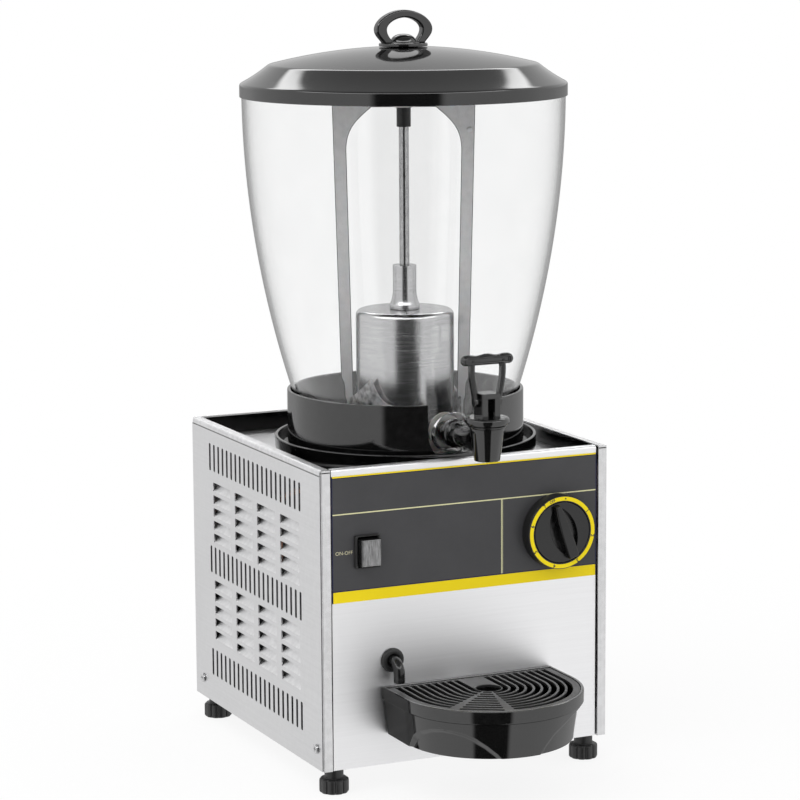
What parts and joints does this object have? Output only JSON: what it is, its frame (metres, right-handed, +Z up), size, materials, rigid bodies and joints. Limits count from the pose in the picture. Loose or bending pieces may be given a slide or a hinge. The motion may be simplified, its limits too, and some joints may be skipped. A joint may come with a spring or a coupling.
{
  "type": "drink dispenser",
  "caption": "Countertop ayran dispenser: steel cooler cabinet, clear bowl round a cold cylinder, agitator, lever tap, drip tray, dial and switch.",
  "frame": {"origin": "on the table, under the middle of the bounding box", "axes": "+Z up, the front faces -Y, +X to the right seen from the front"},
  "size_m": [0.3158, 0.4734, 0.7248],
  "materials": {
    "steel": "brushed stainless sheet",
    "galvanised": "galvanised sheet",
    "cold_steel": "satin turned stainless",
    "dark_steel": "drawn steel",
    "gloss_black": "gloss black plastic",
    "matt_black": "satin black plastic",
    "enamel_black": "black enamel",
    "label": "printed dark grey film with yellow lines",
    "smoked": "smoked translucent plastic",
    "clear": "clear polycarbonate",
    "frosted": "grey translucent plastic",
    "copper": "drawn copper pipe",
    "rubber": "black rubber",
    "silicone": "white silicone"
  },
  "bodies": {
    "cabinet": {"left_side_panel": "steel", "right_side_panel": "steel", "front_post_left": "steel", "front_post_right": "steel", "front_panel": "steel", "top_deck": "steel", "side_screw_left_front": "steel", "side_screw_left_rear": "steel", "side_screw_right_front": "steel", "side_screw_right_rear": "steel", "base_pan": "galvanised", "back_panel": "galvanised", "mixer_motor_bracket": "galvanised", "thermostat": "galvanised", "tray_bracket": "galvanised", "evaporator_shell": "cold_steel", "shaft_bearing_cone": "cold_steel", "mixer_motor": "dark_steel", "condenser": "dark_steel", "deck_liner": "gloss_black", "bowl_seat_dish": "gloss_black", "bowl_collar": "gloss_black", "drain_elbow": "matt_black", "cable_gland": "matt_black", "fan_shroud": "matt_black", "dial_bezel": "matt_black", "switch_housing": "matt_black", "compressor": "enamel_black", "fan_motor": "enamel_black", "control_label": "label", "evaporator_coil": "copper", "filter_drier": "copper", "discharge_line": "copper", "suction_line": "copper", "capillary_line": "copper", "drain_grommet": "rubber"},
    "foot_front_left": {"foot_front_left": "matt_black"},
    "foot_front_right": {"foot_front_right": "matt_black"},
    "foot_rear_left": {"foot_rear_left": "matt_black"},
    "foot_rear_right": {"foot_rear_right": "matt_black"},
    "knob": {"thermostat_knob": "matt_black"},
    "rocker": {"switch_rocker": "smoked"},
    "fan": {"fan_blades": "matt_black"},
    "shaft": {"drive_shaft": "dark_steel"},
    "agitator": {"agitator_frame": "frosted", "agitator_hub": "dark_steel"},
    "bowl": {"bowl": "clear", "bowl_gasket": "silicone", "tap_body": "gloss_black", "tap_washer": "silicone", "tap_locknut": "matt_black", "tap_bonnet": "gloss_black"},
    "valve": {"tap_stem": "dark_steel", "tap_seat_cup": "silicone"},
    "tap_lever": {"tap_handle": "gloss_black"},
    "lid": {"lid": "gloss_black", "lid_handle": "gloss_black", "lid_handle_screw": "dark_steel"},
    "tray": {"drip_tray": "gloss_black"},
    "grate": {"drip_grate": "matt_black"}
  },
  "joints": [
    {"name": "foot_front_left_screw", "type": "slide", "parent": "cabinet", "child": "foot_front_left", "axis": [0, 0, -1], "range_m": [0, 0.01]},
    {"name": "foot_front_right_screw", "type": "slide", "parent": "cabinet", "child": "foot_front_right", "axis": [0, 0, -1], "range_m": [0, 0.01]},
    {"name": "foot_rear_left_screw", "type": "slide", "parent": "cabinet", "child": "foot_rear_left", "axis": [0, 0, -1], "range_m": [0, 0.01]},
    {"name": "foot_rear_right_screw", "type": "slide", "parent": "cabinet", "child": "foot_rear_right", "axis": [0, 0, -1], "range_m": [0, 0.01]},
    {"name": "knob_turn", "type": "hinge", "parent": "cabinet", "child": "knob", "pos_m": [0.0945, -0.11065, 0.2329], "axis": [0, -1, 0], "range_deg": [-310, 0]},
    {"name": "rocker_tilt", "type": "hinge", "parent": "cabinet", "child": "rocker", "pos_m": [-0.1038, -0.10495, 0.2316], "axis": [1, 0, 0], "range_deg": [0, 12]},
    {"name": "fan_spin", "type": "hinge", "parent": "cabinet", "child": "fan", "pos_m": [0.062, 0.17235, 0.0955], "axis": [0, -1, 0], "continuous": true},
    {"name": "shaft_spin", "type": "hinge", "parent": "cabinet", "child": "shaft", "pos_m": [0, 0.03435, 0.4], "axis": [0, 0, 1], "continuous": true},
    {"name": "bowl_lift", "type": "slide", "parent": "cabinet", "child": "bowl", "axis": [0, 0, 1], "range_m": [0, 0.37]},
    {"name": "agitator_spin", "type": "hinge", "parent": "bowl", "child": "agitator", "pos_m": [0, 0.03435, 0.4], "axis": [0, 0, 1], "continuous": true},
    {"name": "lid_lift", "type": "slide", "parent": "bowl", "child": "lid", "axis": [0, 0, 1], "range_m": [0, 0.1]},
    {"name": "lever_pull", "type": "hinge", "parent": "bowl", "child": "tap_lever", "pos_m": [0, -0.14465, 0.3714], "axis": [1, 0, 0], "range_deg": [0, 35], "stiffness_Nm_per_rad": 0.5, "springref_deg": -22.92},
    {"name": "valve_lift", "type": "slide", "parent": "bowl", "child": "valve", "axis": [0, 0, 1], "range_m": [0, 0.008]},
    {"name": "tray_pull", "type": "slide", "parent": "cabinet", "child": "tray", "axis": [0, -1, 0], "range_m": [0, 0.15]},
    {"name": "grate_lift", "type": "hinge", "parent": "tray", "child": "grate", "pos_m": [0, -0.10605, 0.0992], "axis": [-1, 0, 0], "range_deg": [0, 15]}
  ],
  "couplings": [
    {"joint": "agitator_spin", "follows": "shaft_spin", "ratio": 1},
    {"joint": "valve_lift", "follows": "lever_pull", "m_per_rad": 0.0125}
  ]
}
